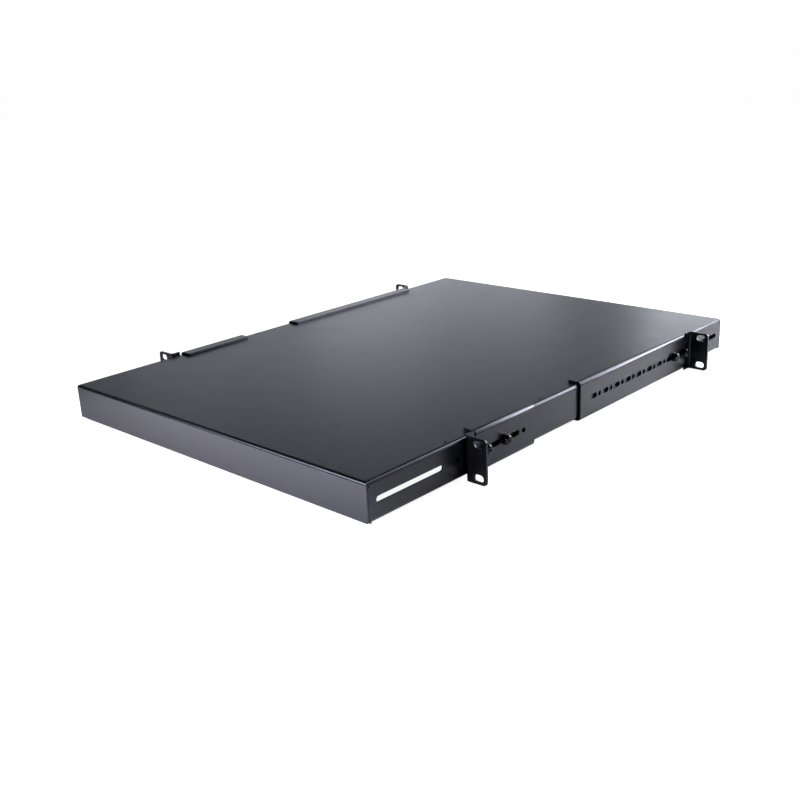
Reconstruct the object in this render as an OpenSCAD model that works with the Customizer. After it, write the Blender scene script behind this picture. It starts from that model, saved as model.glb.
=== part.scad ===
// Adjustable shelf for a 19-inch rack: a folded sheet-steel tray on cross ribs, held
// at its sides by two front and two rear slide brackets, each clamped by two screws.
// Millimetres. X points right, Y to the rear and Z up. The origin lies under the middle
// of the tray, level with the lowest edges, which are the bottoms of the rack ears.

/* [Tray] */
// Depth over the front and rear flanges
tray_d = 610; // [560:5:760]
// Height of the side flanges
tray_h = 37; // [36:0.5:40]
// Thickness of the tray's sheet
tray_t = 1.5; // [1.2:0.1:1.8]
// Outer radius of the tray's bends
tray_bend_r = 3.2; // [2.4:0.1:3.6]
// How much shorter than the side flanges the front and rear flanges are
end_flange_short = 0.5; // [0.3:0.1:3]
// Radius of the free corners of the front and rear flanges
end_flange_corner_r = 1.2; // [0.6:0.1:6]
// Radius of the free corners of the side flanges
side_flange_corner_r = 1.2; // [0.6:0.1:4]
// Gap between a side flange and the front or rear flange beside it
seam_gap = 0.4; // [0.3:0.1:0.8]
// Radius of the round relief at the top of each seam
seam_relief_r = 0.9; // [0.6:0.1:1.6]
// Width of the return that each side flange turns inward at its bottom
return_w = 12; // [9:0.5:15]
// Distance from the tray's ends to the ends of the returns
return_in = 4; // [3:0.5:20]
// Diameter of the small holes in the tray's top at the ends of the ribs
top_hole_d = 3; // [2:0.5:4]
// Distance of those small holes from the tray's sides
top_hole_in = 6; // [5:0.5:9]

/* [Side slots] */
// Length of the two front slots in each side flange
front_slot_l = 83; // [74:1:90]
// Length of the two rear slots in each side flange
rear_slot_l = 58; // [54:1:62]
// Width of the slots, and diameter of the round holes between them
side_slot_w = 5.5; // [5.3:0.1:6]
// Distance from the tray's end to the first slot
side_slot_in = 11; // [10:1:16]
// Web between the two front slots, with a round hole in its middle
front_slot_web = 40; // [34:1:46]
// Web between the two rear slots, with a round hole in its middle
rear_slot_web = 19; // [17:1:22]

/* [Cross ribs] */
// Distance from the tray's end to the middle of the first rib
rib_in = 105; // [80:1:120]
// Distance from the tray's end to the middle of the second rib
second_rib_in = 246; // [220:1:260]
// Width of a rib over its two flanges
rib_w = 50; // [44:1:54]
// Width of each welded flange of a rib
rib_flange_w = 12; // [10:0.5:14]
// Height of a rib
rib_h = 15; // [10:0.5:18]
// Thickness of a rib's sheet
rib_t = 1.2; // [1:0.1:1.5]
// Outer radius of the bends at the bottom of a rib
rib_bend_r = 2.2; // [1.8:0.1:3]
// Clearance from a rib's end to the inner edge of the tray's return
rib_end_gap = 1.5; // [0.5:0.5:4]
// Diameter of the shallow dimple at each spot weld
weld_d = 5; // [3:0.5:6]
// Depth of that dimple
weld_depth = 0.3; // [0.1:0.1:0.5]

/* [Slide brackets] */
// Thickness of the brackets' sheet
bracket_t = 2; // [1.6:0.1:2.4]
// Outer radius of the brackets' bends
bracket_bend_r = 4; // [3:0.1:4.4]
// Gap between the tray's side and the inside of a bracket's wall
wall_gap = 0.6; // [0.5:0.1:1.2]
// Gap between the tray and each lip of a bracket
lip_gap = 0.3; // [0.3:0.1:0.8]
// Width of the lip over the tray's top
top_lip_w = 16; // [12:0.5:22]
// Width of the lip under the tray's side
bottom_lip_w = 14; // [10:0.5:18]
// Radius of the free corners of the lips
lip_corner_r = 2; // [1:0.5:8]
// Length of plain wall between the ear's front face and the lips
neck_l = 14.5; // [12:0.5:16]
// Width of the relief notches between the neck and the lips
neck_notch_w = 3; // [2:0.5:4]
// Depth of those notches below the outer faces of the lips
neck_notch_depth = 5.5; // [4.5:0.5:8]
// Spacing of the round holes along a front bracket
front_hole_pitch = 29; // [28:0.5:32]
// Spacing of the round holes along a rear bracket
rear_hole_pitch = 22; // [21:0.5:26]
// Diameter of the round holes and width of the slots between them
bracket_hole_d = 5.5; // [5.3:0.1:6]
// Length of the slots between the round holes of a front bracket
front_bracket_slot_l = 15; // [11:0.5:16]
// Length of the slots between the round holes of a rear bracket
rear_bracket_slot_l = 12; // [10:0.1:12.4]
// Distance from a front ear's face to the first hole
front_hole_in = 27; // [25:0.5:32]
// Distance from the last hole to the free end of a front bracket
front_tail = 17; // [10:1:20]
// Distance from a rear ear's face to the first hole
rear_hole_in = 16; // [15:0.5:24]
// Distance from the last hole to the free end of a rear bracket
rear_tail = 35; // [20:1:40]
// Least gap between the free ends of a front and a rear bracket
brackets_gap = 66; // [64:1:76]
// Distance from the end of the tray's slot to the first screw of a front bracket
front_screw_in_slot = 16; // [5:0.5:40]
// Distance from the end of the tray's slot to the first screw of a rear bracket
rear_screw_in_slot = 7; // [5:0.5:30]

/* [Rack ears] */
// Width over the ears
rack_w = 482.6; // [440:0.1:600]
// Distance that an ear stands out from its bracket's wall
ear_reach = 22.3; // [20:0.1:28]
// Distance from an ear's outer edge to the middle of its slots
ear_slot_in = 8.75; // [7.5:0.05:9.5]
// Distance between the two slots of an ear
rack_hole_rise = 31.75; // [30:0.25:32]
// Height of an ear
ear_h = 43.7; // [43:0.1:44.4]
// Radius of an ear's free corners
ear_corner_r = 4; // [1:0.5:6]
// Height of an ear's slots
ear_slot_w = 7; // [6.4:0.1:7.4]
// Length of an ear's slots across the rack
ear_slot_l = 10.5; // [9:0.5:11]
// Height of the channel's underside over the bottom of the ears
channel_rise = 1.6; // [0.5:0.1:3]

/* [Fasteners] */
// Diameter of the screws' shafts
screw_d = 5; // [4.2:0.1:5.1]
// Diameter of the screws' heads
head_d = 10; // [9:0.1:10.4]
// Height of the screws' heads
head_h = 3.7; // [3.2:0.1:4.2]
// Radius of the round edge of a head
head_edge_r = 2.3; // [1:0.1:2.8]
// Diameter of the driver's cross recess
recess_d = 5.4; // [4.4:0.1:5.8]
// Depth of the cross recess
recess_depth = 2.4; // [1.5:0.1:2.6]
// Width of the wings of the cross recess
recess_wing_w = 1.2; // [0.8:0.1:1.4]
// Length of shaft that shows past the nut
screw_tip_l = 1.6; // [0.8:0.1:3]
// Chamfer at the end of the shaft
screw_chamfer = 0.6; // [0.2:0.1:0.8]
// Outer diameter of the flat washers outside
outer_washer_d = 10.5; // [10.2:0.1:11]
// Thickness of the flat washers outside
outer_washer_t = 1; // [0.8:0.1:1.3]
// Outer diameter of the spring washers
spring_washer_d = 9.4; // [8.4:0.1:9.7]
// Thickness of the spring washers
spring_washer_t = 1.3; // [1:0.1:1.5]
// Width of the split in a spring washer
spring_split_w = 0.7; // [0.4:0.1:1.2]
// Slant of that split in degrees
spring_slant = 20; // [5:1:30]
// Length of the clamp plates inside the tray
clamp_l = 112; // [104:1:124]
// Width of the clamp plates
clamp_w = 24; // [20:0.5:26]
// Thickness of the clamp plates
clamp_t = 2; // [1.6:0.1:2.4]
// Radius of the corners of the clamp plates
clamp_corner_r = 3; // [1:0.5:5]
// Distance from the ear's end of a front clamp plate to its first screw
front_clamp_screw_in = 42; // [40:0.5:46]
// Distance from the ear's end of a rear clamp plate to its first screw
rear_clamp_screw_in = 22; // [20:0.5:24]
// Width of the nuts across their flats
nut_w = 8; // [7.6:0.1:8.5]
// Height of the nuts
nut_h = 4.2; // [3.6:0.1:4.7]
// Chamfer at the corners of the nuts
nut_chamfer = 0.5; // [0.3:0.1:0.7]
// Clearance between a shaft and the bore of a washer or clamp plate, all round
washer_clearance = 0.2; // [0.1:0.05:0.4]
// Clearance between a shaft and the bore of a nut, all round
nut_clearance = 0.05; // [0.05:0.05:0.1]
// Clearance between the tray's side and the clamp plate inside
slide_gap = 0.2; // [0.1:0.05:0.5]

/* [Hidden] */
$fn = 64;
// Number of the holes in a front bracket, of screws in a bracket, and of welds along a rib
front_hole_count = 3;
screws_per_bracket = 2;
weld_count = 7;
// How far a cut runs past the face that it opens
overrun = 1;
// Number of sides of a nut, and slope of its corner chamfers as height over width
nut_sides = 6;
nut_slope_share = 0.58;
// Width of the bottom of the cross recess as a share of its width at the top
recess_bottom_share = 0.45;
// Diameter of the bore in the middle of the recess as a share of its width
recess_core_share = 0.42;
half = 1 / 2;

// Levels: the channel of a bracket wraps the tray with a lip over and under it
channel_h = tray_h + 2 * (lip_gap + bracket_t);
channel_top_z = channel_rise + channel_h;
tray_z = channel_rise + bracket_t + lip_gap;
tray_top_z = tray_z + tray_h;
slot_z = tray_z + tray_h * half;
ear_mid_z = ear_h * half;

// Planes across the tray, from the ears' outer edges inward
ear_edge_x = rack_w * half;
ear_slot_x = ear_edge_x - ear_slot_in;
wall_out_x = ear_edge_x - ear_reach;
wall_in_x = wall_out_x - bracket_t;
tray_side_x = wall_in_x - wall_gap;
tray_w = 2 * tray_side_x;

// Places along the tray, counted from the end that a bracket belongs to
front_screw_slot_in = side_slot_in + front_slot_l + front_slot_web;
rear_screw_slot_in = side_slot_in + rear_slot_l + rear_slot_web;
front_ear_in = front_screw_slot_in + front_screw_in_slot - front_hole_in;
rear_ear_in = rear_screw_slot_in + rear_screw_in_slot - rear_hole_in;
front_bracket_l = front_hole_in + (front_hole_count - 1) * front_hole_pitch + front_tail;
rear_room = tray_d - front_ear_in - front_bracket_l - brackets_gap - rear_ear_in;
rear_hole_count = 1 + floor((rear_room - rear_hole_in - rear_tail) / rear_hole_pitch);
rear_bracket_l = rear_hole_in + (rear_hole_count - 1) * rear_hole_pitch + rear_tail;
rib_ys = [for (from_front = [rib_in, second_rib_in, tray_d - second_rib_in, tray_d - rib_in])
    from_front - tray_d * half];

// Depths through a screw joint, counted outward from a bracket's outer face
head_z = outer_washer_t + spring_washer_t;
clamp_z = -(bracket_t + wall_gap + tray_t + slide_gap + clamp_t);
nut_z = clamp_z - nut_h;
screw_end_z = nut_z - screw_tip_l;

steel_black = "#1d1e21";
zinc_black = "#2a2b2e";
zinc_bright = "#8d9094";

// The two sides and the two ends of the tray
right = "right";
left = "left";
front = "front";
rear = "rear";

// Extrudes an outline of X and Z along Y, centred on the origin
module along_y(length) {
    translate([0, length * half, 0]) rotate([90, 0, 0]) linear_extrude(length) children();
}

// Extrudes an outline of Y and Z along X, centred on the origin
module along_x(length) {
    translate([-length * half, 0, 0]) rotate([90, 0, 90]) linear_extrude(length) children();
}

// Outline centred on X that stands on 0 and has round upper corners
module arched_outline(width, height, radius) {
    translate([-width * half, 0]) square([width, height - radius]);
    translate([-width * half + radius, 0]) square([width - 2 * radius, height]);
    for (side = [-1, 1])
        translate([side * (width * half - radius), height - radius]) circle(radius);
}

// Outline centred on X that stands on 0 and has four round corners
module rounded_outline(width, height, radius) {
    translate([-width * half, radius]) square([width, height - 2 * radius]);
    translate([-width * half + radius, 0]) square([width - 2 * radius, height]);
    for (side = [-1, 1], z = [radius, height - radius])
        translate([side * (width * half - radius), z]) circle(radius);
}

// Outline with its lower left corner on the origin, and that corner round
module corner_outline(width, height, radius) {
    translate([radius, 0]) square([width - radius, height]);
    translate([0, radius]) square([width, height - radius]);
    translate([radius, radius]) circle(radius);
}

// What is cut from a square corner that points to +X and +Y at the origin to round it
module corner_cut(radius) {
    difference() {
        translate([-radius, -radius]) square(radius + overrun);
        translate([-radius, -radius]) circle(radius);
    }
}

// Slot whose length lies along X and whose depth is centred on the XY plane
module slot_cut(length, width, depth) {
    translate([(width - length) * half, -width * half, -depth * half])
        cube([length - width, width, depth]);
    for (end = [-1, 1])
        translate([end * (length - width) * half, 0, 0])
            cylinder(h = depth, d = width, center = true);
}

// The room that the tray's folded sheet fills or encloses, drawn in by inset
module tray_block(inset, drop) {
    translate([0, 0, tray_z - drop]) intersection() {
        along_y(tray_d - 2 * inset)
            arched_outline(tray_w - 2 * inset, tray_h - inset + drop, tray_bend_r - inset);
        along_x(tray_w - 2 * inset)
            arched_outline(tray_d - 2 * inset, tray_h - inset + drop, tray_bend_r - inset);
    }
}

// The two returns under the side flanges, with the inside of their bends
module tray_returns() {
    translate([0, 0, tray_z]) along_y(tray_d - 2 * return_in) difference() {
        for (side = [-1, 1])
            translate([side * (tray_side_x - return_w * half), tray_bend_r * half])
                square([return_w, tray_bend_r], center = true);
        translate([0, tray_t])
            rounded_outline(tray_w - 2 * tray_t, tray_h - 2 * tray_t, tray_bend_r - tray_t);
    }
}

// What rounds the outside of the bends between the side flanges and the returns
module return_bend_cuts() {
    for (side = [left, right])
        mirror([side == left ? 1 : 0, 0, 0]) translate([tray_side_x, 0, tray_z])
            along_y(tray_d - 2 * return_in) mirror([0, 1]) corner_cut(tray_bend_r);
}

// Seam, relief and free corners at one corner of the tray, drawn for the rear right
module tray_corner_cuts(side, end) {
    seam_y = tray_d * half - tray_t - seam_gap;
    end_z = tray_z + end_flange_short;
    mirror([side == left ? 1 : 0, 0, 0]) mirror([0, end == front ? 1 : 0, 0]) {
        // Seam, open below, and the round relief at its top
        translate([tray_side_x - tray_bend_r, seam_y, tray_z - overrun])
            cube([tray_bend_r + overrun, seam_gap, tray_h - tray_bend_r - seam_relief_r + overrun]);
        translate([tray_side_x - tray_bend_r, seam_y + seam_gap - seam_relief_r,
                   tray_top_z - tray_bend_r - seam_relief_r])
            rotate([0, 90, 0]) cylinder(h = tray_bend_r + overrun, r = seam_relief_r);
        // Free corner of the end flange
        translate([tray_side_x, tray_d * half + overrun, end_z])
            rotate([90, 0, 0]) linear_extrude(tray_t + seam_gap + overrun)
                mirror([0, 1]) corner_cut(end_flange_corner_r);
        // Free corner of the side flange
        translate([tray_side_x - tray_bend_r, seam_y, tray_z])
            rotate([90, 0, 90]) linear_extrude(tray_bend_r + overrun)
                mirror([0, 1]) corner_cut(side_flange_corner_r);
    }
}

// The two slots at the rear end of both side flanges, with a round hole between them
module side_slot_cuts(slot_l, slot_web) {
    pitch = slot_l + slot_web;
    first_y = tray_d * half - side_slot_in - slot_l * half;
    for (slot_y = [first_y, first_y - pitch])
        translate([0, slot_y, slot_z]) rotate([90, 0, 90])
            slot_cut(slot_l, side_slot_w, tray_w + 2 * overrun);
    translate([0, first_y - pitch * half, slot_z]) rotate([0, 90, 0])
        cylinder(h = tray_w + 2 * overrun, d = side_slot_w, center = true);
}

// The tray: top, four flanges and two returns, folded from one sheet
module shelf_tray() {
    color(steel_black) difference() {
        tray_block(0, 0);
        difference() {
            tray_block(tray_t, overrun);
            tray_returns();
        }
        return_bend_cuts();
        // The front and rear flanges end a little higher than the side flanges
        for (end = [-1, 1])
            translate([0, end * (tray_d - tray_t - seam_gap + overrun) * half,
                       tray_z + (end_flange_short - overrun) * half])
                cube([tray_w + 2 * overrun, tray_t + seam_gap + overrun,
                      end_flange_short + overrun], center = true);
        for (side = [left, right], end = [front, rear]) tray_corner_cuts(side, end);
        side_slot_cuts(rear_slot_l, rear_slot_web);
        mirror([0, 1, 0]) side_slot_cuts(front_slot_l, front_slot_web);
        for (rib_y = rib_ys, side = [-1, 1])
            translate([side * (tray_side_x - top_hole_in), rib_y, tray_top_z - tray_t * half])
                cylinder(h = tray_t + 2 * overrun, d = top_hole_d, center = true);
    }
}

// A rib: a hat-shaped channel, spot-welded by its flanges under the tray's top. The ribs
// are counted from the front.
module cross_rib(i) {
    rib_l = tray_w - 2 * (return_w + rib_end_gap);
    crown_w = rib_w - 2 * rib_flange_w;
    weld_pitch = rib_l / weld_count;
    color(steel_black) translate([0, rib_ys[i], tray_top_z - tray_t]) difference() {
        union() {
            translate([-rib_l * half, -rib_w * half, -rib_t]) cube([rib_l, rib_w, rib_t]);
            along_x(rib_l) mirror([0, 1]) arched_outline(crown_w, rib_h, rib_bend_r);
        }
        translate([0, 0, overrun]) along_x(rib_l + 2 * overrun) mirror([0, 1])
            arched_outline(crown_w - 2 * rib_t, rib_h - rib_t + overrun, rib_bend_r - rib_t);
        for (n = [0 : weld_count - 1], flange = [-1, 1])
            translate([(n + half) * weld_pitch - rib_l * half,
                       flange * (rib_w - rib_flange_w) * half, -rib_t - overrun])
                cylinder(h = weld_depth + overrun, d = weld_d);
    }
}

// Channel section of a bracket: a wall with a lip at its top and one at its bottom
module channel_outline() {
    room = 2 * top_lip_w;
    intersection() {
        translate([wall_out_x - room * half, channel_rise]) difference() {
            rounded_outline(room, channel_h, bracket_bend_r);
            translate([0, bracket_t])
                rounded_outline(room - 2 * bracket_t, channel_h - 2 * bracket_t,
                                bracket_bend_r - bracket_t);
        }
        union() {
            translate([wall_out_x - top_lip_w, slot_z])
                square([top_lip_w, channel_top_z - slot_z]);
            translate([wall_out_x - bottom_lip_w, channel_rise])
                square([bottom_lip_w, slot_z - channel_rise]);
        }
    }
}

// The ear and the neck of a bracket, one strip bent square, from the ear's face at 0
module ear_and_neck() {
    difference() {
        translate([wall_in_x, 0, 0]) linear_extrude(ear_h) difference() {
            corner_outline(ear_edge_x - wall_in_x, neck_l, bracket_bend_r);
            translate([bracket_t, bracket_t])
                corner_outline(ear_edge_x - wall_in_x, neck_l, bracket_bend_r - bracket_t);
        }
        // Free corners of the ear
        translate([ear_edge_x, bracket_t + overrun, ear_h])
            rotate([90, 0, 0]) linear_extrude(bracket_t + 2 * overrun)
                corner_cut(ear_corner_r);
        translate([ear_edge_x, bracket_t + overrun, 0])
            rotate([90, 0, 0]) linear_extrude(bracket_t + 2 * overrun)
                mirror([0, 1]) corner_cut(ear_corner_r);
        // Rack slots
        for (level = [-1, 1])
            translate([ear_slot_x, bracket_t * half,
                       ear_mid_z + level * rack_hole_rise * half])
                rotate([90, 0, 0])
                    slot_cut(ear_slot_l, ear_slot_w, bracket_t + 2 * overrun);
    }
}

// Relief notches with round ends where the lips start, at the top and the bottom
module neck_notch_cuts() {
    notch_y = neck_l - neck_notch_w * half;
    cut_l = bracket_t + 2 * overrun;
    round_in = neck_notch_depth - neck_notch_w * half;
    for (z = [channel_rise + round_in, channel_top_z - round_in])
        translate([wall_in_x - overrun, notch_y, z])
            rotate([0, 90, 0]) cylinder(h = cut_l, d = neck_notch_w);
    translate([wall_in_x - overrun, notch_y - neck_notch_w * half, channel_top_z - round_in])
        cube([cut_l, neck_notch_w, round_in + overrun]);
    translate([wall_in_x - overrun, notch_y - neck_notch_w * half, -overrun])
        cube([cut_l, neck_notch_w, channel_rise + round_in + overrun]);
}

// Rounds the free corners of one lip, whose lower face lies at height z
module lip_corner_cuts(lip_w, z, bracket_l) {
    translate([wall_out_x - lip_w, 0, z - overrun])
        linear_extrude(bracket_t + 2 * overrun) {
            translate([0, bracket_l]) mirror([1, 0]) corner_cut(lip_corner_r);
            translate([0, neck_l]) mirror([1, 0]) mirror([0, 1]) corner_cut(lip_corner_r);
        }
}

// A slide bracket of the right-hand side, from its ear's face at Y 0 towards +Y, with
// a row of round holes and a slot behind each of the first slot_count of them
module slide_bracket(bracket_l, hole_in, hole_pitch, hole_count, slot_count, slot_l) {
    difference() {
        union() {
            ear_and_neck();
            translate([0, (bracket_l + neck_l) * half, 0])
                along_y(bracket_l - neck_l) channel_outline();
        }
        neck_notch_cuts();
        lip_corner_cuts(top_lip_w, channel_top_z - bracket_t, bracket_l);
        lip_corner_cuts(bottom_lip_w, channel_rise, bracket_l);
        for (i = [0 : hole_count - 1])
            translate([wall_in_x - overrun, hole_in + i * hole_pitch, slot_z])
                rotate([0, 90, 0])
                    cylinder(h = bracket_t + 2 * overrun, d = bracket_hole_d);
        for (i = [0 : slot_count - 1])
            translate([wall_in_x + bracket_t * half, hole_in + (i + half) * hole_pitch, slot_z])
                rotate([90, 0, 90])
                    slot_cut(slot_l, bracket_hole_d, bracket_t + 2 * overrun);
    }
}

// Moves what is drawn for the front right to a side and an end of the tray
module at_corner(side, end) {
    ear_in = end == front ? front_ear_in : rear_ear_in;
    mirror([side == left ? 1 : 0, 0, 0]) mirror([0, end == rear ? 1 : 0, 0])
        translate([0, ear_in - tray_d * half, 0]) children();
}

// A bracket in its place
module bracket_at(side, end) {
    color(steel_black) at_corner(side, end) {
        if (end == front)
            slide_bracket(front_bracket_l, front_hole_in, front_hole_pitch,
                          front_hole_count, front_hole_count - 1, front_bracket_slot_l);
        else
            slide_bracket(rear_bracket_l, rear_hole_in, rear_hole_pitch,
                          rear_hole_count, rear_hole_count, rear_bracket_slot_l);
    }
}

// Puts a fastener, drawn along Z from the bracket's outer face, at both screw holes
module at_screws(side, end) {
    hole_in = end == front ? front_hole_in : rear_hole_in;
    hole_pitch = end == front ? front_hole_pitch : rear_hole_pitch;
    at_corner(side, end) for (i = [0 : screws_per_bracket - 1])
        translate([wall_out_x, hole_in + i * hole_pitch, slot_z])
            rotate([0, 90, 0]) children();
}

// Pan-head machine screw with a cross recess
module screw() {
    difference() {
        union() {
            translate([0, 0, head_z]) rotate_extrude() {
                square([head_d * half - head_edge_r, head_h]);
                square([head_d * half, head_h - head_edge_r]);
                translate([head_d * half - head_edge_r, head_h - head_edge_r])
                    intersection() {
                        circle(head_edge_r);
                        square(head_edge_r);
                    }
            }
            translate([0, 0, screw_end_z + screw_chamfer])
                cylinder(h = head_z - screw_end_z - screw_chamfer, d = screw_d);
            translate([0, 0, screw_end_z])
                cylinder(h = screw_chamfer, d1 = screw_d - 2 * screw_chamfer, d2 = screw_d);
        }
        cross_recess();
    }
}

// Recess whose four wings narrow towards its bottom
module cross_recess() {
    bottom_d = recess_d * recess_bottom_share;
    widening = (recess_d - bottom_d) / recess_depth;
    translate([0, 0, head_z + head_h - recess_depth]) intersection() {
        cylinder(h = recess_depth + overrun, d1 = bottom_d, d2 = recess_d + widening * overrun);
        union() {
            for (turn = [0, 90]) rotate([0, 0, turn])
                translate([-recess_d, -recess_wing_w * half, 0])
                    cube([2 * recess_d, recess_wing_w, recess_depth + overrun]);
            cylinder(h = recess_depth + overrun, d = recess_d * recess_core_share);
        }
    }
}

// Flat ring whose lower face lies at height z
module ring(outer_d, thickness, clearance, z) {
    translate([0, 0, z]) difference() {
        cylinder(h = thickness, d = outer_d);
        translate([0, 0, -overrun])
            cylinder(h = thickness + 2 * overrun, d = screw_d + 2 * clearance);
    }
}

// Ring with a slanted split, pressed flat under the head
module spring_washer() {
    difference() {
        ring(spring_washer_d, spring_washer_t, washer_clearance, outer_washer_t);
        translate([0, 0, outer_washer_t + spring_washer_t * half]) rotate([0, spring_slant, 0])
            translate([-spring_split_w * half, 0, -spring_washer_t - overrun])
                cube([spring_split_w, spring_washer_d, 2 * (spring_washer_t + overrun)]);
    }
}

// Hexagon nut, chamfered at both ends
module nut() {
    corner_d = nut_w / cos(180 / nut_sides);
    chamfer_h = nut_chamfer * nut_slope_share;
    translate([0, 0, nut_z]) difference() {
        intersection() {
            rotate([0, 0, 90]) cylinder(h = nut_h, d = corner_d, $fn = nut_sides);
            union() {
                cylinder(h = chamfer_h, d1 = corner_d - 2 * nut_chamfer, d2 = corner_d);
                translate([0, 0, chamfer_h])
                    cylinder(h = nut_h - 2 * chamfer_h, d = corner_d);
                translate([0, 0, nut_h - chamfer_h])
                    cylinder(h = chamfer_h, d1 = corner_d, d2 = corner_d - 2 * nut_chamfer);
            }
        }
        translate([0, 0, -overrun])
            cylinder(h = nut_h + 2 * overrun, d = screw_d + 2 * nut_clearance);
    }
}

module screws_at(side, end) {
    color(zinc_black) at_screws(side, end) screw();
}

module spring_washers_at(side, end) {
    color(zinc_black) at_screws(side, end) spring_washer();
}

module outer_washers_at(side, end) {
    color(zinc_black) at_screws(side, end)
        ring(outer_washer_d, outer_washer_t, washer_clearance, 0);
}

// The plate that both nuts of a bracket pull against the inside of the tray's wall
module clamp_plate_at(side, end) {
    first_y = end == front ? front_hole_in - front_clamp_screw_in
                           : rear_hole_in - rear_clamp_screw_in;
    color(zinc_black) difference() {
        at_corner(side, end)
            translate([wall_out_x + clamp_z, first_y + clamp_l * half, slot_z - clamp_w * half])
                rotate([90, 0, 90]) linear_extrude(clamp_t)
                    rounded_outline(clamp_l, clamp_w, clamp_corner_r);
        at_screws(side, end) translate([0, 0, clamp_z - overrun])
            cylinder(h = clamp_t + 2 * overrun, d = screw_d + 2 * washer_clearance);
    }
}

module nuts_at(side, end) {
    color(zinc_bright) at_screws(side, end) nut();
}

shelf_tray();
cross_rib(0);  // cross_rib_1
cross_rib(1);  // cross_rib_2
cross_rib(2);  // cross_rib_3
cross_rib(3);  // cross_rib_4
bracket_at(right, front);  // front_right_bracket
bracket_at(left, front);  // front_left_bracket
bracket_at(right, rear);  // rear_right_bracket
bracket_at(left, rear);  // rear_left_bracket
screws_at(right, front);  // front_right_screws
screws_at(left, front);  // front_left_screws
screws_at(right, rear);  // rear_right_screws
screws_at(left, rear);  // rear_left_screws
spring_washers_at(right, front);  // front_right_spring_washers
spring_washers_at(left, front);  // front_left_spring_washers
spring_washers_at(right, rear);  // rear_right_spring_washers
spring_washers_at(left, rear);  // rear_left_spring_washers
outer_washers_at(right, front);  // front_right_outer_washers
outer_washers_at(left, front);  // front_left_outer_washers
outer_washers_at(right, rear);  // rear_right_outer_washers
outer_washers_at(left, rear);  // rear_left_outer_washers
clamp_plate_at(right, front);  // front_right_clamp_plate
clamp_plate_at(left, front);  // front_left_clamp_plate
clamp_plate_at(right, rear);  // rear_right_clamp_plate
clamp_plate_at(left, rear);  // rear_left_clamp_plate
nuts_at(right, front);  // front_right_nuts
nuts_at(left, front);  // front_left_nuts
nuts_at(right, rear);  // rear_right_nuts
nuts_at(left, rear);  // rear_left_nuts
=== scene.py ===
"""Adjustable rack shelf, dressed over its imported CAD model."""
import math

import bpy
from mathutils import Matrix, Vector

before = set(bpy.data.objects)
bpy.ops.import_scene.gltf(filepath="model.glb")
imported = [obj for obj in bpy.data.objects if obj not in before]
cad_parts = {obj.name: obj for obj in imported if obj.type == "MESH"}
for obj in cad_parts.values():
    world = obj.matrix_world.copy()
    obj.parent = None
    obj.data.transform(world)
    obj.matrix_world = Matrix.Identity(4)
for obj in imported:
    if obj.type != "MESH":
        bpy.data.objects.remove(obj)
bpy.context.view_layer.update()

# Camera: the shelf is seen from above its front right corner, 1.2 m from its middle,
# with the camera tipped a little to one side. Angles are in degrees, places in metres,
# and the lens and the sensor in millimetres.
camera_azimuth = 43.50
camera_elevation = 19.13
camera_roll = -2.69
camera_eye = Vector((0.7572, -0.8308, 0.3710))
camera_lens = 46.37
camera_sensor = 36
camera_reach = 50


def shelf_camera():
    az = math.radians(camera_azimuth)
    el = math.radians(camera_elevation)
    roll = math.radians(camera_roll)
    back = Vector((math.sin(az) * math.cos(el), -math.cos(az) * math.cos(el), math.sin(el)))
    level = Vector((math.cos(az), math.sin(az), 0))
    upright = back.cross(level)
    right = level * math.cos(roll) + upright * math.sin(roll)
    up = upright * math.cos(roll) - level * math.sin(roll)
    data = bpy.data.cameras.new("camera")
    data.lens = camera_lens
    data.sensor_width = camera_sensor
    data.clip_end = camera_reach
    camera = bpy.data.objects.new("camera", data)
    turn = Matrix((right, up, back)).transposed().to_4x4()
    camera.matrix_world = Matrix.Translation(camera_eye) @ turn
    bpy.context.scene.collection.objects.link(camera)
    return camera


bpy.context.scene.camera = shelf_camera()
bpy.context.scene.view_settings.view_transform = "Standard"

# Room: a floor of white paper level with the bottoms of the rack ears, and white all
# round for the camera. Mirror images show a studio instead: a white backdrop low behind
# the shelf, a bright panel at its rear right, and dim walls above and in front of it.
floor_size = 40
sky_light = 0.08
backdrop_shine = (0.92, 0.95, 1.0)
ceiling_shine = (0.052, 0.064, 0.098)
front_shine = (0.012, 0.013, 0.017)
panel_shine = (3.3, 3.25, 3.4)
ceiling_fade = (0.15, 0.35)
panel_rear_fade = (0.40, 0.85)
panel_height_fade = (0.12, 0.26)
panel_side_fade = (0.02, 0.22)
rear_fade = (0.05, 0.70)


def ray_kinds(nodes, links):
    """Returns a socket that tells camera rays, and one that tells mirrored or passed ones."""
    path = nodes.new("ShaderNodeLightPath")
    mirrored = nodes.new("ShaderNodeMath")
    mirrored.operation = "MAXIMUM"
    links.new(path.outputs["Is Glossy Ray"], mirrored.inputs[0])
    links.new(path.outputs["Is Transmission Ray"], mirrored.inputs[1])
    return path.outputs["Is Camera Ray"], mirrored.outputs[0]


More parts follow.
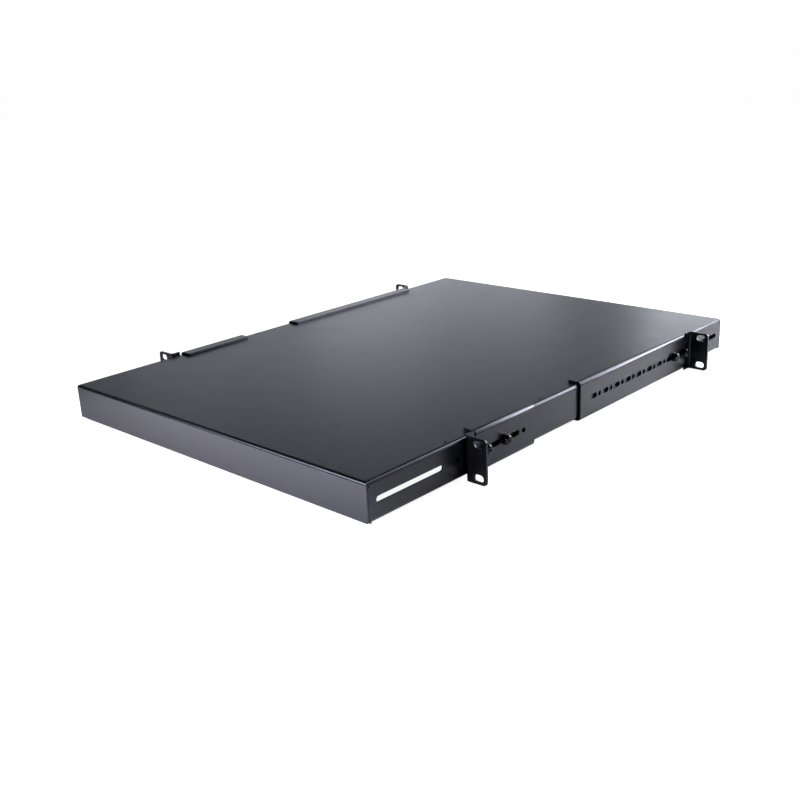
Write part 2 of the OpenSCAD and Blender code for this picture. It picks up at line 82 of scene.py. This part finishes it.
def white_sky():
    """White for the camera, the studio in mirror images, and else a weak even light."""
    world = bpy.data.worlds.new("white_sky")
    world.use_nodes = True
    nodes, links = world.node_tree.nodes, world.node_tree.links
    nodes.clear()
    coords = nodes.new("ShaderNodeTexCoord")
    parts = nodes.new("ShaderNodeSeparateXYZ")
    links.new(coords.outputs["Generated"], parts.inputs[0])

    def fade(axis, ends):
        """Runs from 0 to 1 as the direction's share along an axis passes both ends."""
        n = nodes.new("ShaderNodeMapRange")
        n.inputs["From Min"].default_value = ends[0]
        n.inputs["From Max"].default_value = ends[1]
        n.interpolation_type = "SMOOTHSTEP"
        links.new(parts.outputs[axis], n.inputs["Value"])
        return n.outputs[0]

    def blend(factor, first, second):
        n = nodes.new("ShaderNodeMix")
        n.data_type = "RGBA"
        links.new(factor, n.inputs["Factor"])
        for socket, colour in (("A", first), ("B", second)):
            if isinstance(colour, tuple):
                n.inputs[socket].default_value = (*colour, 1)
            else:
                links.new(colour, n.inputs[socket])
        return n.outputs["Result"]

    def background(colour, strength):
        n = nodes.new("ShaderNodeBackground")
        n.inputs["Strength"].default_value = strength
        if isinstance(colour, tuple):
            n.inputs["Color"].default_value = (*colour, 1)
        else:
            links.new(colour, n.inputs["Color"])
        return n.outputs[0]

    def choose(factor, other, shader):
        n = nodes.new("ShaderNodeMixShader")
        links.new(factor, n.inputs[0])
        links.new(other, n.inputs[1])
        links.new(shader, n.inputs[2])
        return n.outputs[0]

    backdrop = blend(fade("Z", ceiling_fade), backdrop_shine, ceiling_shine)
    side = blend(fade("Y", panel_rear_fade), front_shine, panel_shine)
    panel = blend(fade("Z", panel_height_fade), front_shine, side)
    rear = blend(fade("X", panel_side_fade), backdrop, panel)
    studio = blend(fade("Y", rear_fade), front_shine, rear)
    camera_ray, mirror_ray = ray_kinds(nodes, links)
    unseen = choose(mirror_ray, background((1, 1, 1), sky_light), background(studio, 1))
    out = nodes.new("ShaderNodeOutputWorld")
    links.new(choose(camera_ray, unseen, background((1, 1, 1), 1)), out.inputs["Surface"])
    bpy.context.scene.world = world


floor_white = 0.75
camera_glow = 0.93
mirror_glow = 0.03
floor_sheen = 0.09
floor_roughness = 0.35


def white_floor():
    """Paper that glows for the camera, takes shadows, and has a sheen in mirror images."""
    bpy.ops.mesh.primitive_plane_add(size=floor_size)
    floor = bpy.context.object
    floor.name = "floor"
    material = bpy.data.materials.new("floor_paper")
    material.use_nodes = True
    nodes, links = material.node_tree.nodes, material.node_tree.links
    nodes.clear()
    paper = nodes.new("ShaderNodeBsdfDiffuse")
    paper.inputs["Color"].default_value = (*[floor_white] * 3, 1)
    glow = nodes.new("ShaderNodeEmission")
    glow.inputs["Color"].default_value = (1, 1, 1, 1)
    camera_ray, mirror_ray = ray_kinds(nodes, links)
    seen = nodes.new("ShaderNodeMath")
    seen.operation = "MULTIPLY"
    seen.inputs[1].default_value = camera_glow
    links.new(camera_ray, seen.inputs[0])
    strength = nodes.new("ShaderNodeMath")
    strength.operation = "MULTIPLY_ADD"
    strength.inputs[1].default_value = mirror_glow
    links.new(mirror_ray, strength.inputs[0])
    links.new(seen.outputs[0], strength.inputs[2])
    links.new(strength.outputs[0], glow.inputs["Strength"])
    both = nodes.new("ShaderNodeAddShader")
    links.new(paper.outputs[0], both.inputs[0])
    links.new(glow.outputs[0], both.inputs[1])
    sheen = nodes.new("ShaderNodeBsdfGlossy")
    sheen.inputs["Color"].default_value = (1, 1, 1, 1)
    sheen.inputs["Roughness"].default_value = floor_roughness
    sheen_share = nodes.new("ShaderNodeMath")
    sheen_share.operation = "MULTIPLY"
    sheen_share.inputs[1].default_value = floor_sheen
    links.new(mirror_ray, sheen_share.inputs[0])
    surface = nodes.new("ShaderNodeMixShader")
    links.new(sheen_share.outputs[0], surface.inputs[0])
    links.new(both.outputs[0], surface.inputs[1])
    links.new(sheen.outputs[0], surface.inputs[2])
    out = nodes.new("ShaderNodeOutputMaterial")
    links.new(surface.outputs[0], out.inputs["Surface"])
    floor.data.materials.append(material)


rear_light = (0.90, 0.95, 1)
floor_light = (0.96, 0.94, 1)


def soft_box(name, place, target, size, power, colour=(1, 1, 1), spread=180):
    """Aims a flat lamp, hidden from the camera, from its place at its target."""
    data = bpy.data.lights.new(name, "AREA")
    data.color = colour
    data.shape = "RECTANGLE"
    data.size, data.size_y = size
    data.energy = power
    data.spread = math.radians(spread)
    lamp = bpy.data.objects.new(name, data)
    lamp.visible_camera = False
    lamp.location = place
    aim = Vector(target) - Vector(place)
    lamp.rotation_euler = aim.to_track_quat("-Z", "Y").to_euler()
    bpy.context.scene.collection.objects.link(lamp)


white_sky()
white_floor()

# Lamps: a high one behind the shelf, three lower ones behind it to the left, one beyond
# its rear right corner, and one low over the floor in front of it.
soft_box("rear_soft_box", place=(0.65, 1.9, 1.65), target=(0.2, 0.0, 0.03),
         size=(0.6, 1.3), power=20, colour=rear_light)
soft_box("low_rear_soft_box", place=(-0.52, 2.3, 0.5), target=(0, 0.2, 0.03),
         size=(0.9, 0.5), power=3.4, colour=rear_light)
soft_box("low_left_soft_box", place=(-1.9, 2.2, 0.35), target=(0, 0.2, 0.03),
         size=(1.0, 0.4), power=2.1, colour=rear_light)
soft_box("left_soft_box", place=(-2.4, 1.8, 0.75), target=(0, 0, 0.03),
         size=(1.2, 0.6), power=0.85, colour=rear_light)
soft_box("side_soft_box", place=(0.60, 0.82, 0.26), target=(0.40, 0.62, 0),
         size=(0.5, 0.18), power=6.5)
soft_box("floor_soft_box", place=(0.0, -0.47, 0.15), target=(0.0, -0.40, 0),
         size=(0.58, 0.06), power=1.3, colour=floor_light, spread=115)

# Shelf tray: one sheet of 1.5 mm steel, laser cut, folded down on four sides and in
# under both side flanges. It is coated all over with black satin powder, whose melted
# skin is faintly pebbled and flecked and varies a little in gloss.
coat_black = (0.0010, 0.0011, 0.0016)
coat_fleck = (0.004, 0.0042, 0.0052)
coat_tint = (0.80, 0.81, 1)
coat_ior = 1.75
coat_roughness = 0.256
shade_scale = 9
shade_lift = 1.25
fleck_scale = 1400
fleck_share = 0.35
fleck_ends = (0.55, 0.8)
noise_ends = (0.3, 0.7)
smear_scale = 38
smear_depth = 0.03
grain_scale = 620
grain_depth = 0.045
pebble_scale = 750
pebble_strength = 0.8
pebble_height = 0.0001
sheet_edge = 0.00025
edge_steps = 3
edge_angle = 50
weld_reach = 0.00001


def powder_coat(name, grain_place=(0, 0, 0)):
    material = bpy.data.materials.new(name)
    material.use_nodes = True
    nodes, links = material.node_tree.nodes, material.node_tree.links
    nodes.clear()
    coords = nodes.new("ShaderNodeTexCoord")
    shift = nodes.new("ShaderNodeMapping")
    shift.inputs["Location"].default_value = grain_place
    links.new(coords.outputs["Object"], shift.inputs["Vector"])

    def noise(scale, detail):
        n = nodes.new("ShaderNodeTexNoise")
        n.inputs["Scale"].default_value = scale
        n.inputs["Detail"].default_value = detail
        links.new(shift.outputs[0], n.inputs["Vector"])
        return n.outputs["Fac"]

    def remap(value, low, high, ends=noise_ends):
        m = nodes.new("ShaderNodeMapRange")
        m.inputs["From Min"].default_value = ends[0]
        m.inputs["From Max"].default_value = ends[1]
        m.inputs["To Min"].default_value = low
        m.inputs["To Max"].default_value = high
        links.new(value, m.inputs["Value"])
        return m.outputs[0]

    shade = nodes.new("ShaderNodeMix")
    shade.data_type = "RGBA"
    shade.inputs["A"].default_value = (*coat_black, 1)
    shade.inputs["B"].default_value = (*(c * shade_lift for c in coat_black), 1)
    links.new(remap(noise(shade_scale, detail=4), 0, 1), shade.inputs["Factor"])
    fleck = nodes.new("ShaderNodeMix")
    fleck.data_type = "RGBA"
    fleck.inputs["B"].default_value = (*coat_fleck, 1)
    links.new(shade.outputs["Result"], fleck.inputs["A"])
    specks = remap(noise(fleck_scale, detail=1), 0, fleck_share, fleck_ends)
    links.new(specks, fleck.inputs["Factor"])

    coat = nodes.new("ShaderNodeBsdfPrincipled")
    coat.inputs["IOR"].default_value = coat_ior
    coat.inputs["Specular Tint"].default_value = (*coat_tint, 1)
    links.new(fleck.outputs["Result"], coat.inputs["Base Color"])
    grain = nodes.new("ShaderNodeMath")
    grain.operation = "MULTIPLY_ADD"
    grain.inputs[1].default_value = grain_depth
    links.new(noise(grain_scale, detail=2), grain.inputs[0])
    smear = remap(noise(smear_scale, detail=5), coat_roughness, coat_roughness + smear_depth)
    links.new(smear, grain.inputs[2])
    links.new(grain.outputs[0], coat.inputs["Roughness"])
    pebble = nodes.new("ShaderNodeBump")
    pebble.inputs["Strength"].default_value = pebble_strength
    pebble.inputs["Distance"].default_value = pebble_height
    links.new(noise(pebble_scale, detail=2), pebble.inputs["Height"])
    links.new(pebble.outputs[0], coat.inputs["Normal"])
    out = nodes.new("ShaderNodeOutputMaterial")
    links.new(coat.outputs[0], out.inputs["Surface"])
    return material


def dress(node, material, edge=sheet_edge):
    """Gives a CAD node its material and softens its cut edges."""
    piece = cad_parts[node]
    slots = piece.data.materials
    if not slots:
        slots.append(material)
    for index in range(len(slots)):
        slots[index] = material
    weld = piece.modifiers.new("weld", "WELD")
    weld.merge_threshold = weld_reach
    soften = piece.modifiers.new("cut_edges", "BEVEL")
    soften.width = edge
    soften.segments = edge_steps
    soften.limit_method = "ANGLE"
    soften.angle_limit = math.radians(edge_angle)


dress("shelf_tray", powder_coat("tray_coat"))

# Cross ribs: four hat-shaped channels of 1.2 mm steel under the tray's top, spot-welded
# by their flanges before the shelf was coated.
rib_count = 4
rib_grain_step = 0.3
for number in range(1, rib_count + 1):
    coat = powder_coat(f"rib_{number}_coat", (rib_grain_step * number, 0, 0))
    dress(f"cross_rib_{number}", coat)

# Slide brackets: channels of 2 mm steel that wrap the tray's sides, each with a rack
# ear bent out at one end, coated like the tray.
bracket_edge = 0.0007
bracket_grain_y = 0.4
bracket_grain_z = 0.2
corners = ["front_right", "front_left", "rear_right", "rear_left"]
for number, corner in enumerate(corners):
    grain_place = (0, bracket_grain_y + number, bracket_grain_z)
    coat = powder_coat(f"{corner}_bracket_coat", grain_place)
    dress(f"{corner}_bracket", coat, bracket_edge)

# Screws and the washers under their heads: steel, zinc-plated and passivated black.
# That finish is smooth and glossy, with a faint clouding.
zinc_cloud_scale = 260
zinc_cloud_detail = 4
zinc_cloud_lift = 1.8
zinc_smoother = 0.06
zinc_rougher = 0.08
fastener_edge = 0.00012


def zinc(name, base, roughness):
    material = bpy.data.materials.new(name)
    material.use_nodes = True
    nodes, links = material.node_tree.nodes, material.node_tree.links
    nodes.clear()
    coords = nodes.new("ShaderNodeTexCoord")
    cloud = nodes.new("ShaderNodeTexNoise")
    cloud.inputs["Scale"].default_value = zinc_cloud_scale
    cloud.inputs["Detail"].default_value = zinc_cloud_detail
    links.new(coords.outputs["Object"], cloud.inputs["Vector"])
    colour = nodes.new("ShaderNodeMix")
    colour.data_type = "RGBA"
    colour.inputs["A"].default_value = (*base, 1)
    colour.inputs["B"].default_value = (*(c * zinc_cloud_lift for c in base), 1)
    links.new(cloud.outputs["Fac"], colour.inputs["Factor"])
    rough = nodes.new("ShaderNodeMapRange")
    rough.inputs["From Min"].default_value = noise_ends[0]
    rough.inputs["From Max"].default_value = noise_ends[1]
    rough.inputs["To Min"].default_value = roughness - zinc_smoother
    rough.inputs["To Max"].default_value = roughness + zinc_rougher
    links.new(cloud.outputs["Fac"], rough.inputs["Value"])
    metal = nodes.new("ShaderNodeBsdfPrincipled")
    metal.inputs["Metallic"].default_value = 1
    links.new(colour.outputs["Result"], metal.inputs["Base Color"])
    links.new(rough.outputs[0], metal.inputs["Roughness"])
    out = nodes.new("ShaderNodeOutputMaterial")
    links.new(metal.outputs[0], out.inputs["Surface"])
    return material


black_zinc = zinc("black_zinc", base=(0.05, 0.05, 0.055), roughness=0.09)
for corner in corners:
    dress(f"{corner}_screws", black_zinc, fastener_edge)
    dress(f"{corner}_spring_washers", black_zinc, fastener_edge)
    dress(f"{corner}_outer_washers", black_zinc, fastener_edge)

# Clamp plates of 2 mm steel and hexagon nuts, which hold the screws inside the tray.
# The plates are passivated black, and the nuts are plain bright zinc. The plates' duller,
# near-black coat is also painted shade: it darkens the view through the tray's holes,
# where the inside of the tray lies in shadow.
plate_edge = 0.0002
plate_zinc_painted_shade = zinc("plate_zinc_painted_shade", base=(0.008, 0.008, 0.009), roughness=0.4)
bright_zinc = zinc("bright_zinc", base=(0.30, 0.31, 0.32), roughness=0.3)
for corner in corners:
    dress(f"{corner}_clamp_plate", plate_zinc_painted_shade, plate_edge)
    dress(f"{corner}_nuts", bright_zinc, fastener_edge)
